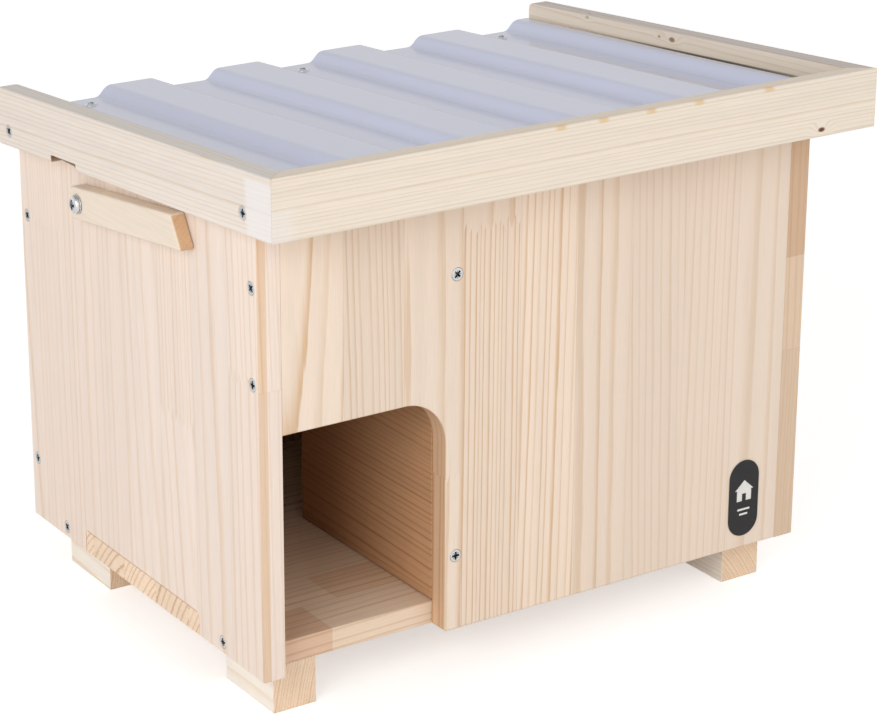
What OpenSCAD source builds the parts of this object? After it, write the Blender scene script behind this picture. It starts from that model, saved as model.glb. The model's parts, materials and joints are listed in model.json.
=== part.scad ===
// Nesting box of pine boards with a hinged lid, a corrugated roof sheet and a swinging roof prop.
// Inside the box modules x is 0 on the centreline, y is 0 on the front face and z is 0 under the walls.

/* [Box] */
// Width over the two side panels
box_w = 484; // [420:1:560]
// Depth over the front and back panels
box_d = 360; // [340:1:420]
// Height of the back wall, up to where the closed lid rests
back_h = 317; // [300:1:360]
// Thickness of every wall board and of the floor
board_t = 18; // [16:0.5:20]
// Width of the entrance
entrance_w = 136; // [110:1:150]
// Height of the entrance above the underside of the walls
entrance_h = 183; // [150:1:200]
// Radius of the entrance's upper inner corner
entrance_r = 35; // [10:1:50]
// Length of the partition, from the front panel towards the back
partition_l = 181; // [150:1:200]
// Height of the partition above the floor
partition_h = 298; // [250:1:298]
// Length of the floor's tongue through each side panel
tongue_l = 178; // [120:1:200]

/* [Feet] */
// Height of the feet
foot_h = 36.6; // [30:0.1:45]
// Width of the feet
foot_w = 36; // [30:1:45]
// Length of the feet
foot_l = 67; // [50:1:80]

/* [Lid] */
// Fall of the lid towards the back, in degrees
lid_slope = 3.6; // [2:0.1:4]
// Height of the lid's frame boards
frame_h = 44.7; // [42:0.1:50]
// Thickness of the lid's frame boards
frame_t = 17; // [14:0.5:18]
// Distance from the front panel to the outer face of the fascia
front_overhang = 49; // [42:1:60]
// Thickness of the battens under the sheet
batten_t = 18; // [16:0.5:20]
// Width of the battens under the sheet
batten_w = 40; // [36:1:44]

/* [Roof sheet] */
// Distance from ridge to ridge
ridge_pitch = 98; // [80:1:120]
// Width of the flat top of a ridge
ridge_top = 41; // [30:1:42]
// Height of a ridge
ridge_h = 8.5; // [6:0.5:10]
// Thickness of the sheet
sheet_t = 1.4; // [1:0.1:2]

/* [Roof prop] */
// Width of the prop
prop_w = 25; // [20:1:28]
// Thickness of the prop
prop_t = 12; // [10:0.5:14]
// Distance from the pivot to the long corner of the tip
prop_l = 155; // [153:0.5:155]
// Slant of the tip, in degrees from a square cut
prop_tip_slant = 24; // [15:1:26]

/* [Label] */
// Width of the pill-shaped label
label_w = 29; // [20:1:34]
// Height of the label
label_h = 63; // [40:1:80]
// Thickness of the label
label_t = 0.8; // [0.5:0.1:1.5]

/* [Hidden] */
$fn = 48;

half_w = box_w / 2;
inner_half_w = half_w - board_t;
rest_gap = 0.3;           // daylight between the lid's battens and the walls they rest on
tongue_gap = 0.5;         // play around the floor's tongue in the side panel's slot
tongue_r = 5;             // radius of the tongue's two upper corners
tongue_y = 181;           // middle of the tongue
lap = 3;                  // how far the lid's frame hangs below the top of the walls
frame_gap = 0.5;          // play between the lid's frame and the side panels
frame_half_w = half_w + frame_gap + frame_t;
past = 1;                 // how far a cutter runs past the face that it cuts

foot_front_y = board_t;
foot_rear_y = 267;

entrance_x = -inner_half_w + entrance_w;   // entrance side of the partition
label_x = 191;                             // middle of the label on the front panel
label_z = 41.5;

// The lid's battens: the front one butts the fascia, the rear one is flush with the back.
front_batten_y = -front_overhang + frame_t;
rear_batten_y = box_d - batten_w;
batten_middles = [front_batten_y + batten_w / 2, rear_batten_y + batten_w / 2];

sheet_x = -half_w + 2;                     // left edge of the sheet
sheet_right_rear = half_w;                 // right edge of the sheet at the back
sheet_right_front = half_w - 7;            // the same edge at the front, where a gap opens
first_ridge_x = -163;                      // left edge of the first whole ridge's flat top
ridge_slope_w = (ridge_pitch - 2 * ridge_top) / 2;
ridge_count = ceil((half_w - first_ridge_x) / ridge_pitch) + 1;
sheet_l = box_d - front_batten_y - past;
sheet_gap = 0.1;
sheet_rise = batten_t + sheet_gap;         // underside of the sheet's valleys above the rest plane

pivot_y = 239;
pivot_z = 294;
prop_lean = 6.4;          // slope of the stowed prop, rising towards the front
prop_end_r = 5;           // radius of the two corners behind the pivot
prop_gap = 0.2;           // play between the prop and the side panel
prop_notch_y = 249;       // middle of the notch for the prop's tip in the lid's left board
prop_notch_l = 40;
prop_notch_d = 3.5;
pivot_r = 2.5;
pivot_screw_l = 32;
pivot_head_r = 6.5;
pivot_head_h = 4;
running_gap = 0.06;       // radial play of anything that turns
washer_t = 1;
washer_r = 7.5;

hinge_x = 150;            // middle of each hinge from the centreline
hinge_l = 50;
leaf_t = 1.4;
leaf_h = 14;
knuckle_r = 3;
hinge_pin_r = 1.5;
knuckle_gap = 0.3;
hinge_y = box_d + knuckle_r + knuckle_gap;
knuckles = 3;
knuckle_pitch = hinge_l / knuckles;
leaf_middle = knuckle_r + leaf_h / 2;      // height of a leaf's screws above or below the pin

screw_r = 2;
screw_tip_r = 0.3;
screw_head_r = 4.8;
screw_head_h = 2.8;
screw_gap = 0.05;
screw_inset = board_t / 2;                 // a screw sits in the middle of the board edge that it enters
side_screw_l = 45;
foot_screw_l = 48;
foot_screw_sink = 4;                       // depth of the foot screws' heads below the foot
sheet_screw_l = 14;
sheet_screw_head_r = 5;
sheet_screw_head_h = 2.2;
leaf_screw_r = 1.5;
leaf_screw_head_r = 3;
leaf_screw_l = 12;

// Heights and places of the screws.
side_screws_rear_z = [51.5, 254.5];
front_screws_left_z = [221.5, 291];
front_screws_right_z = [51.5, 254.5];
floor_screws_y = [57.5, 303];
partition_screws_z = [58.5, 273.5];
foot_screws_dy = [16, 51];
lid_screws_rise = [12, 9];                 // above the rest plane, in the front and the rear batten
sheet_screws_x = [-190, 2, 198];
sheet_screws_y = [-13, 335];
leaf_screws_dx = [-16, 16];

// The model's own frame puts the origin on the ground in the middle of the whole footprint.
rearmost = hinge_y + knuckle_r;
middle_y = (rearmost - front_overhang) / 2;

function rest_z(y) = back_h + (box_d - y) * tan(lid_slope);

module in_frame() {
    translate([0, -middle_y, foot_h]) children();
}

// A solid with a (y, z) outline, running from x0 to x1.
module along_x(x0, x1) {
    translate([x0, 0, 0]) rotate([90, 0, 90]) linear_extrude(x1 - x0) children();
}

// A countersunk screw along +z with its head's face at z = 0 and its point at z = len.
module screw(len, grow = 0) {
    cylinder(h = screw_head_h, r1 = screw_head_r + grow, r2 = screw_r + grow);
    cylinder(h = len - screw_r, r = screw_r + grow);
    translate([0, 0, len - screw_r]) cylinder(h = screw_r + grow, r1 = screw_r + grow, r2 = screw_tip_r);
}

module screw_hole(len) {
    screw(len, screw_gap);
    translate([0, 0, -past]) cylinder(h = past + screw_gap, r = screw_head_r + screw_gap);
}

// ---- screw places, each turned so that +z runs into the wood ----

module at_side_screws(side) {
    front_z = side < 0 ? front_screws_left_z : front_screws_right_z;
    mirror([side > 0 ? 1 : 0, 0, 0]) translate([-half_w, 0, 0]) rotate([0, 90, 0]) {
        for (z = front_z) translate([-z, screw_inset, 0]) children();
        for (z = side_screws_rear_z) translate([-z, box_d - screw_inset, 0]) children();
        for (y = floor_screws_y) translate([-screw_inset, y, 0]) children();
    }
}

module at_partition_screws() {
    for (z = partition_screws_z)
        translate([entrance_x + screw_inset, 0, z]) rotate([-90, 0, 0]) children();
}

module at_foot_screws() {
    for (side = [-1, 1], y = [foot_front_y, foot_rear_y], dy = foot_screws_dy)
        translate([side * (inner_half_w - foot_w / 2), y + dy, -foot_h + foot_screw_sink]) children();
}

module at_lid_frame_screws(side) {
    for (i = [0, 1])
        mirror([side > 0 ? 1 : 0, 0, 0])
            translate([-frame_half_w, batten_middles[i], rest_z(batten_middles[i]) + lid_screws_rise[i]])
                rotate([0, 90, 0]) children();
}

module at_sheet_screws() {
    for (x = sheet_screws_x, y = sheet_screws_y)
        translate([x, y, rest_z(y)]) rotate([-lid_slope, 0, 0]) translate([0, 0, sheet_rise + sheet_t])
            children();
}

module at_leaf_screws(rise) {
    for (side = [-1, 1], dx = leaf_screws_dx)
        translate([side * hinge_x + dx, box_d + leaf_t, back_h + rise]) rotate([90, 0, 0]) children();
}

// ---- walls ----

module wall_outline() {
    polygon([[0, 0], [box_d, 0], [box_d, back_h - rest_gap], [0, rest_z(0) - rest_gap]]);
}

module tongue_outline(grow = 0) {
    half = tongue_l / 2 + grow;
    top = board_t + grow;
    translate([tongue_y, 0]) {
        translate([-half, -grow]) square([2 * half, top + grow - tongue_r]);
        translate([-half + tongue_r, -grow]) square([2 * (half - tongue_r), top + grow]);
        for (side = [-1, 1]) translate([side * (half - tongue_r), top - tongue_r]) circle(tongue_r);
    }
}

module side_panel(side) {
    color("Wheat") difference() {
        mirror([side > 0 ? 1 : 0, 0, 0]) difference() {
            along_x(-half_w, -inner_half_w) wall_outline();
            along_x(-half_w - past, -inner_half_w + past) tongue_outline(tongue_gap);
        }
        at_side_screws(side) screw_hole(side_screw_l);
        if (side < 0) prop_pivot_hole();
    }
}

module side_panel_left() { in_frame() side_panel(-1); }

module side_panel_right() { in_frame() side_panel(1); }

module cross_wall(y) {
    intersection() {
        along_x(-inner_half_w, inner_half_w) wall_outline();
        translate([-half_w, y, 0]) cube([box_w, board_t, rest_z(0)]);
    }
}

// The entrance is a notch in the panel's lower left corner, open to the floor's front edge.
module entrance_cutter() {
    straight = entrance_h - entrance_r;
    translate([-inner_half_w, board_t, 0]) rotate([90, 0, 0])
        translate([0, 0, -past]) linear_extrude(board_t + 2 * past) {
            translate([-past, -past]) square([entrance_w + past, straight + past]);
            translate([-past, 0]) square([entrance_w - entrance_r + past, entrance_h]);
            translate([entrance_w - entrance_r, straight]) circle(entrance_r);
        }
}

module front_panel() {
    in_frame() color("BurlyWood") difference() {
        cross_wall(0);
        entrance_cutter();
        at_side_screws(-1) screw_hole(side_screw_l);
        at_side_screws(1) screw_hole(side_screw_l);
        at_partition_screws() screw_hole(side_screw_l);
    }
}

module back_panel() {
    in_frame() color("BurlyWood") difference() {
        cross_wall(box_d - board_t);
        at_side_screws(-1) screw_hole(side_screw_l);
        at_side_screws(1) screw_hole(side_screw_l);
        at_leaf_screws(-leaf_middle) leaf_screw(screw_gap);
    }
}

module floor_panel() {
    in_frame() color("Tan") difference() {
        union() {
            translate([-inner_half_w, board_t, 0])
                cube([2 * inner_half_w, box_d - 2 * board_t, board_t]);
            along_x(-half_w, half_w) tongue_outline();
        }
        at_side_screws(-1) screw_hole(side_screw_l);
        at_side_screws(1) screw_hole(side_screw_l);
        at_foot_screws() screw_hole(foot_screw_l);
    }
}

module partition_wall() {
    in_frame() color("Peru") difference() {
        translate([entrance_x, board_t, board_t]) cube([board_t, partition_l, partition_h]);
        at_partition_screws() screw_hole(side_screw_l);
    }
}

// ---- feet ----

module foot(side, y) {
    x = side < 0 ? -inner_half_w : inner_half_w - foot_w;
    in_frame() color("Tan") difference() {
        translate([x, y, -foot_h]) cube([foot_w, foot_l, foot_h]);
        at_foot_screws() screw_hole(foot_screw_l);
        at_foot_screws() translate([0, 0, -foot_h]) cylinder(h = foot_h, r = screw_head_r + screw_gap);
    }
}

module foot_front_left() { foot(-1, foot_front_y); }

module foot_front_right() { foot(1, foot_front_y); }

module foot_rear_left() { foot(-1, foot_rear_y); }

module foot_rear_right() { foot(1, foot_rear_y); }

// ---- fixed screws and label ----

module side_panel_screws() {
    in_frame() color("Silver") for (side = [-1, 1]) at_side_screws(side) screw(side_screw_l);
}

module front_panel_screws() {
    in_frame() color("Silver") at_partition_screws() screw(side_screw_l);
}

module foot_screws() {
    in_frame() color("Silver") at_foot_screws() screw(foot_screw_l);
}

// A pill-shaped plate, low on the right of the front panel.
module label_plate() {
    end_r = label_w / 2;
    reach = label_h / 2 - end_r;
    in_frame() color("DimGray")
        translate([label_x, 0, label_z]) rotate([90, 0, 0]) linear_extrude(label_t) {
            translate([-end_r, -reach]) square([label_w, 2 * reach]);
            for (end = [-1, 1]) translate([0, end * reach]) circle(end_r);
        }
}

// ---- hinges ----

// One knuckle around the pin, with the web that joins it to a leaf. It starts at x = 0.
module knuckle(web_h) {
    length = knuckle_pitch - knuckle_gap;
    rotate([0, 90, 0]) cylinder(h = length, r = knuckle_r);
    translate([0, box_d - hinge_y, 0]) cube([length, leaf_t, web_h]);
}

// A leaf that rises from the pin, or hangs from it with dir = -1. It carries the knuckles whose numbers
// are listed in own, counted from the left.
module leaf(side, dir, own) {
    web_h = knuckle_r + knuckle_gap;
    color("LightGray") difference() {
        translate([side * hinge_x - hinge_l / 2, hinge_y, back_h]) mirror([0, 0, dir < 0 ? 1 : 0]) {
            for (i = own) translate([i * knuckle_pitch + knuckle_gap / 2, 0, 0]) knuckle(web_h);
            translate([0, box_d - hinge_y, web_h]) cube([hinge_l, leaf_t, leaf_h]);
        }
        translate([-half_w, hinge_y, back_h]) rotate([0, 90, 0])
            cylinder(h = box_w, r = hinge_pin_r + running_gap);
        at_leaf_screws(dir * leaf_middle) leaf_screw(screw_gap);
    }
}

module leaf_screw(grow = 0) {
    cylinder(h = leaf_t, r1 = leaf_screw_head_r + grow, r2 = leaf_screw_r + grow);
    cylinder(h = leaf_screw_l, r = leaf_screw_r + grow);
}

module hinge_pin(side) {
    in_frame() color("DarkGray")
        translate([side * hinge_x - hinge_l / 2, hinge_y, back_h]) rotate([0, 90, 0])
            cylinder(h = hinge_l, r = hinge_pin_r);
}

module hinge_left_box_leaf() { in_frame() leaf(-1, -1, [0, 2]); }

module hinge_right_box_leaf() { in_frame() leaf(1, -1, [0, 2]); }

module hinge_left_lid_leaf() { in_frame() leaf(-1, 1, [1]); }

module hinge_right_lid_leaf() { in_frame() leaf(1, 1, [1]); }

module hinge_left_pin() { hinge_pin(-1); }

module hinge_right_pin() { hinge_pin(1); }

module hinge_box_screws() {
    in_frame() color("Silver") at_leaf_screws(-leaf_middle) leaf_screw();
}

module hinge_lid_screws() {
    in_frame() color("Silver") at_leaf_screws(leaf_middle) leaf_screw();
}

// ---- roof prop ----

module at_pivot(out = 0) {
    translate([-half_w - out, pivot_y, pivot_z]) rotate([0, 90, 0]) children();
}

module prop_pivot_hole() {
    at_pivot(past) cylinder(h = pivot_screw_l - prop_t - washer_t + past, r = pivot_r + screw_gap);
}

// The prop's outline with its pivot at the origin and its length along -x, which is towards the front.
module prop_outline() {
    half = prop_w / 2;
    corner = half - prop_end_r;
    short_l = prop_l - prop_w * tan(prop_tip_slant);
    translate([0, -half]) square([corner, prop_w]);
    translate([0, -corner]) square([half, 2 * corner]);
    for (side = [-1, 1]) translate([corner, side * corner]) circle(prop_end_r);
    polygon([[0, -half], [0, half], [-short_l, half], [-prop_l, -half]]);
}

module roof_prop() {
    in_frame() color("Moccasin") difference() {
        translate([0, pivot_y, pivot_z]) along_x(-half_w - prop_gap - prop_t, -half_w - prop_gap)
            rotate(-prop_lean) prop_outline();
        at_pivot(prop_t + past) cylinder(h = prop_t + 2 * past, r = pivot_r + running_gap);
    }
}

module prop_washer() {
    in_frame() color("Silver") at_pivot(2 * prop_gap + prop_t + washer_t) difference() {
        cylinder(h = washer_t, r = washer_r);
        translate([0, 0, -past]) cylinder(h = washer_t + 2 * past, r = pivot_r + running_gap);
    }
}

module prop_pivot_screw() {
    head_out = 2 * prop_gap + prop_t + washer_t;
    dome_r = (pivot_head_r * pivot_head_r + pivot_head_h * pivot_head_h) / (2 * pivot_head_h);
    in_frame() color("Silver") at_pivot(head_out) {
        cylinder(h = pivot_screw_l, r = pivot_r);
        translate([0, 0, -pivot_head_h]) rotate_extrude() intersection() {
            translate([0, dome_r]) circle(dome_r);
            square([pivot_head_r, pivot_head_h]);
        }
    }
}

// ---- lid ----

// A board cut to the lid's slope with plumb ends, from y0 to y1 and from low to high over the rest plane.
module sloped_outline(y0, y1, low, high) {
    front = rest_z(y0);
    rear = rest_z(y1);
    polygon([[y0, front + low], [y1, rear + low], [y1, rear + high], [y0, front + high]]);
}

// The fascia's share of the lid's front corners: it narrows at 45 degrees from the front face.
module mitre_wedge() {
    wide = frame_half_w + past;
    depth = frame_t + past;
    narrow = wide - past - depth;
    translate([0, -front_overhang, 0]) linear_extrude(2 * back_h)
        polygon([[-wide, -past], [wide, -past], [narrow, depth], [-narrow, depth]]);
}

module prop_notch() {
    reach = prop_notch_l / 2 - prop_notch_d;
    translate([prop_notch_y, rest_z(prop_notch_y) - lap]) rotate(-lid_slope) {
        translate([-reach, -past]) square([2 * reach, prop_notch_d + past]);
        for (end = [-1, 1]) translate([end * reach, 0]) circle(prop_notch_d);
    }
}

module lid_side(side) {
    in_frame() color("Wheat") difference() {
        mirror([side > 0 ? 1 : 0, 0, 0]) along_x(-frame_half_w, -frame_half_w + frame_t) difference() {
            sloped_outline(-front_overhang, box_d, -lap, frame_h - lap);
            if (side < 0) prop_notch();
        }
        mitre_wedge();
        at_lid_frame_screws(side) screw_hole(side_screw_l);
    }
}

module lid_side_left() { lid_side(-1); }

module lid_side_right() { lid_side(1); }

module lid_fascia() {
    in_frame() color("Wheat") intersection() {
        along_x(-frame_half_w, frame_half_w)
            sloped_outline(-front_overhang, -front_overhang + frame_t, -lap, frame_h - lap);
        mitre_wedge();
    }
}

module batten(y) {
    reach = half_w + frame_gap;
    in_frame() color("Tan") difference() {
        along_x(-reach, reach) sloped_outline(y, y + batten_w, 0, batten_t);
        for (side = [-1, 1]) at_lid_frame_screws(side) screw_hole(side_screw_l);
        at_sheet_screws() sheet_screw_hole();
        at_leaf_screws(leaf_middle) leaf_screw(screw_gap);
    }
}

module lid_front_batten() { batten(front_batten_y); }

module lid_rear_batten() { batten(rear_batten_y); }

module lid_frame_screws() {
    in_frame() color("Silver") for (side = [-1, 1]) at_lid_frame_screws(side) screw(side_screw_l);
}

// ---- roof sheet ----

// One side of the sheet from left to right: each ridge is two points up and two points down.
function ridge_line(x, z) = [
    [x - ridge_slope_w, z], [x, z + ridge_h],
    [x + ridge_top, z + ridge_h], [x + ridge_top + ridge_slope_w, z]
];
function sheet_line(z) = [
    for (i = [-1 : ridge_count - 1]) each ridge_line(first_ridge_x + i * ridge_pitch, z)
];
function backwards(points) = [for (i = [len(points) - 1 : -1 : 0]) points[i]];

module sheet_profile() {
    polygon(concat(sheet_line(sheet_rise), backwards(sheet_line(sheet_rise + sheet_t))));
}

// The sheet seen from above, with its rear edge on y = 0.
module sheet_plan() {
    polygon([[sheet_x, 0], [sheet_x, -sheet_l], [sheet_right_front, -sheet_l], [sheet_right_rear, 0]]);
}

module roof_sheet() {
    in_frame() color("LightSteelBlue", 0.9) difference() {
        translate([0, box_d, back_h]) rotate([-lid_slope, 0, 0]) intersection() {
            rotate([90, 0, 0]) linear_extrude(sheet_l) sheet_profile();
            linear_extrude(back_h) sheet_plan();
        }
        at_sheet_screws() sheet_screw_hole();
    }
}

module sheet_screw_hole() {
    translate([0, 0, past]) mirror([0, 0, 1])
        cylinder(h = past + sheet_screw_l + screw_gap, r = screw_r + screw_gap);
}

module sheet_screws() {
    in_frame() color("Silver") at_sheet_screws() translate([0, 0, screw_gap]) {
        cylinder(h = sheet_screw_head_h, r = sheet_screw_head_r);
        mirror([0, 0, 1]) cylinder(h = sheet_screw_l, r = screw_r);
    }
}

side_panel_left();
side_panel_right();
front_panel();
back_panel();
floor_panel();
partition_wall();
foot_front_left();
foot_front_right();
foot_rear_left();
foot_rear_right();
side_panel_screws();
front_panel_screws();
foot_screws();
label_plate();
hinge_left_box_leaf();
hinge_right_box_leaf();
hinge_left_pin();
hinge_right_pin();
hinge_box_screws();
roof_prop();
prop_pivot_screw();
prop_washer();
lid_side_left();
lid_side_right();
lid_fascia();
lid_front_batten();
lid_rear_batten();
roof_sheet();
sheet_screws();
lid_frame_screws();
hinge_left_lid_leaf();
hinge_right_lid_leaf();
hinge_lid_screws();
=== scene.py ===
"""Nesting box of pine boards under a grey corrugated roof sheet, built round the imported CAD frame."""

import json
import math
from types import SimpleNamespace

import bmesh
import bpy
from mathutils import Matrix, Vector


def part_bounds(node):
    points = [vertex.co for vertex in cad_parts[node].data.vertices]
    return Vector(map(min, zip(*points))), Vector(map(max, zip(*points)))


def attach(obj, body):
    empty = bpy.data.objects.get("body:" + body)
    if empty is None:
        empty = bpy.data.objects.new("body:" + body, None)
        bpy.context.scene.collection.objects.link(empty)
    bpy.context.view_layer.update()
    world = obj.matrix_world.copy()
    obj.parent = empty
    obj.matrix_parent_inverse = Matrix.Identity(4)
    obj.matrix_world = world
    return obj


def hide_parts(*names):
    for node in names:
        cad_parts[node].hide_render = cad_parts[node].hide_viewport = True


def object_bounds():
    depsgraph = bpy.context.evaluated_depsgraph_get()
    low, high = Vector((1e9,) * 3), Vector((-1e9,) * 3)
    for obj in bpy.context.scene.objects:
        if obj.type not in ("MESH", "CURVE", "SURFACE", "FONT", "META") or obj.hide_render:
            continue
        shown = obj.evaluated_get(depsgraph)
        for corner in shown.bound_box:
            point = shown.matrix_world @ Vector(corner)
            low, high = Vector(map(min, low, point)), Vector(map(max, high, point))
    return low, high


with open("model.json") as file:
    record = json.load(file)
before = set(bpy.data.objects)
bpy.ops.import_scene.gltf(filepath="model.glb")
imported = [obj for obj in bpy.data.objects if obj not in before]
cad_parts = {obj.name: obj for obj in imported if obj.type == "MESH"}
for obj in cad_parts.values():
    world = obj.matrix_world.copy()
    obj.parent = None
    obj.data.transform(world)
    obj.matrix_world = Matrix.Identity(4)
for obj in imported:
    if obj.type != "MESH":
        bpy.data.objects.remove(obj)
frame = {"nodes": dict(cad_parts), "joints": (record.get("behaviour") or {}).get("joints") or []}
cad_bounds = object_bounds()

MM = 0.001
EASE = 1.3 * MM            # rounding of an ordinary board edge
TIGHT = 0.3                # share of EASE on the edges of slots and notches
FLUSH = 0.12               # the same where two boards meet in one plane
ARC_STEPS = 8
BOARD_SHARP = 0.6          # radians: edges bent by more than this keep a hard shading line
ROUND_BEND = math.radians(25)    # edges along a board bent by less belong to an arc and aren't eased
WELD_DISTANCE = 0.001 * MM


# ---------------- reading the frame

def part_box(node, inside):
    """Lowest and highest corner of those vertices of a CAD node for which inside(v) is true."""
    points = [v.co for v in frame["nodes"][node].data.vertices if inside(v.co)]
    low = Vector(min(p[i] for p in points) for i in range(3))
    high = Vector(max(p[i] for p in points) for i in range(3))
    return low, high


def islands(node):
    """The boxes of a CAD node's separate solids, sorted by place."""
    bm = bmesh.new()
    bm.from_mesh(frame["nodes"][node].data)
    bmesh.ops.remove_doubles(bm, verts=bm.verts, dist=WELD_DISTANCE)
    left = set(bm.verts)
    boxes = []
    while left:
        stack = [left.pop()]
        low = stack[0].co.copy()
        high = low.copy()
        while stack:
            vert = stack.pop()
            low = Vector(map(min, low, vert.co))
            high = Vector(map(max, high, vert.co))
            for edge in vert.link_edges:
                other = edge.other_vert(vert)
                if other in left:
                    left.discard(other)
                    stack.append(other)
        boxes.append((low, high))
    bm.free()
    return sorted(boxes, key=lambda b: tuple(round(c, 5) for c in b[0]))


left_low, left_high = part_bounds("side_panel_left")
right_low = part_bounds("side_panel_right")[0]
front_low, front_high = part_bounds("front_panel")
back_low, back_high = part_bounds("back_panel")
partition_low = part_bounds("partition_wall")[0]
floor_low, floor_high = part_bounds("floor_panel")
lid_left_low, lid_left_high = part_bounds("lid_side_left")
lid_right_low, lid_right_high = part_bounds("lid_side_right")
fascia_low, fascia_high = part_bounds("lid_fascia")
sheet_low, sheet_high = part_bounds("roof_sheet")

# The lid and the walls' tops fall towards the back by this much.
SLOPE_TAN = (left_high.z - back_high.z) / (back_low.y - left_low.y)
SLOPE = math.atan(SLOPE_TAN)

WALL_T = left_high.x - left_low.x
FRAME_T = lid_left_high.x - lid_left_low.x
LID_BOARD_H = lid_left_high.z - lid_left_low.z - (lid_left_high.y - lid_left_low.y) * SLOPE_TAN
SHEET_TOP = sheet_high.z - lid_left_low.z - (lid_left_high.y - sheet_low.y) * SLOPE_TAN


def wall_top(y):
    """Height of the walls' sloping top edge at depth y."""
    return left_high.z - (y - left_low.y) * SLOPE_TAN


def lid_line(y, height):
    """The z of a point at depth y and this height above the lower edge line of the lid's boards."""
    return lid_left_low.z + (lid_left_high.y - y) * SLOPE_TAN + height


def lid_across(height):
    """A height above the lower edge of the lid's boards, as z in their materials' tilted coordinates."""
    return lid_left_high.y * math.sin(SLOPE) + (lid_left_low.z + height) * math.cos(SLOPE)


def lid_along(*depths):
    """Depths on the lid's boards, as y in their materials' tilted coordinates."""
    return tuple(y * math.cos(SLOPE) - lid_line(y, 0) * math.sin(SLOPE) for y in depths)


# The only points of the left lid board between its ends are those of the notch for the prop.
prop_notch = part_box("lid_side_left", lambda v: -0.1 < v.y < 0.15)


# ---------------- meshes

def stand(point, outward):
    """Stands a screw, pin or lamp in the frame: its origin at point, its z axis looking outward."""
    turn = Vector(outward).to_track_quat("Z", "Y").to_matrix().to_4x4()
    return Matrix.Translation(point) @ turn


def show(name, data):
    """A new object in the scene that holds this mesh, light or camera."""
    obj = bpy.data.objects.new(name, data)
    bpy.context.scene.collection.objects.link(obj)
    return obj


def link(name, bm):
    """A new object that holds a finished bmesh."""
    mesh = bpy.data.meshes.new(name)
    bm.to_mesh(mesh)
    bm.free()
    return show(name, mesh)


def bake_modifiers(obj):
    """Replaces an object's mesh by its mesh after modifiers."""
    bpy.context.view_layer.update()
    done = bpy.data.meshes.new_from_object(obj.evaluated_get(bpy.context.evaluated_depsgraph_get()))
    obj.modifiers.clear()
    obj.data = done


def soften(obj, width, angle):
    """A narrow bevel on edges bent by more than this many degrees."""
    bevel = obj.modifiers.new("soften", "BEVEL")
    bevel.width = width
    bevel.segments = 2
    bevel.limit_method = "ANGLE"
    bevel.angle_limit = math.radians(angle)


def shade(obj, sharp=BOARD_SHARP):
    """Smooth shading with flat faces kept flat, and hard lines at edges bent by more than sharp."""
    bm = bmesh.new()
    bm.from_mesh(obj.data)
    for face in bm.faces:
        face.smooth = True
    for edge in bm.edges:
        edge.smooth = edge.is_manifold and edge.calc_face_angle(0.0) < sharp
    bm.to_mesh(obj.data)
    bm.free()
    obj.modifiers.new("normals", "WEIGHTED_NORMAL").keep_sharp = True


def arc(centre, radius, start, end, steps=ARC_STEPS):
    """Points on an arc about centre, angles in degrees."""
    points = []
    for i in range(steps + 1):
        angle = math.radians(start + (end - start) * i / steps)
        points.append((centre[0] + radius * math.cos(angle), centre[1] + radius * math.sin(angle)))
    return points


PLACE = {
    "x": lambda u, v, w: Vector((w, u, v)),
    "y": lambda u, v, w: Vector((u, w, v)),
    "z": lambda u, v, w: Vector((u, v, w)),
}


def prism(outline, axis, span, shares=None, ends=1.0, warp=None, ease=EASE):
    """A closed prism on a 2-D outline, its edges eased.

    shares gives the edge that starts at a point of the outline its share of the easing, by the point's
    index, and ends does so for both end faces."""
    bm = bmesh.new()
    weight = bm.edges.layers.float.new("bevel_weight_edge")
    rings = [[bm.verts.new(PLACE[axis](u, v, w)) for u, v in outline] for w in span]
    count = len(outline)
    bm.faces.new(rings[0])
    bm.faces.new(rings[1][::-1])
    for i in range(count):
        j = (i + 1) % count
        bm.faces.new((rings[0][i], rings[0][j], rings[1][j], rings[1][i]))
    if warp:
        for vert in bm.verts:
            warp(vert.co)
    bmesh.ops.recalc_face_normals(bm, faces=bm.faces)
    share = [(shares or {}).get(i, 1.0) for i in range(count)]
    for i in range(count):
        for ring in rings:
            bm.edges.get((ring[i], ring[(i + 1) % count]))[weight] = min(share[i], ends)
        through = bm.edges.get((rings[0][i], rings[1][i]))
        if through.calc_face_angle(0.0) > ROUND_BEND:
            through[weight] = min(share[i], share[i - 1])
    obj = link("prism", bm)
    bevel = obj.modifiers.new("ease", "BEVEL")
    bevel.limit_method = "WEIGHT"
    bevel.width = ease
    bevel.segments = 3
    bevel.use_clamp_overlap = False
    bake_modifiers(obj)
    return obj


def mirrored(half, length):
    """A profile of this length that ends the way it starts, from its first half."""
    return half + [(r, length - z) for r, z in reversed(half)]


def lathe(profile, steps=32):
    """A closed solid of revolution about z, from (radius, z) points that start and end on the axis."""
    bm = bmesh.new()
    rings = []
    for radius, z in profile:
        if radius == 0:
            rings.append([bm.verts.new((0, 0, z))])
        else:
            turns = [2 * math.pi * i / steps for i in range(steps)]
            rings.append([bm.verts.new((radius * math.cos(t), radius * math.sin(t), z)) for t in turns])
    for low, high in zip(rings, rings[1:]):
        for i in range(steps):
            j = (i + 1) % steps
            corners = [low[i % len(low)], low[j % len(low)], high[j % len(high)], high[i % len(high)]]
            bm.faces.new(dict.fromkeys(corners))
    bmesh.ops.recalc_face_normals(bm, faces=bm.faces)
    return bm


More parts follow.
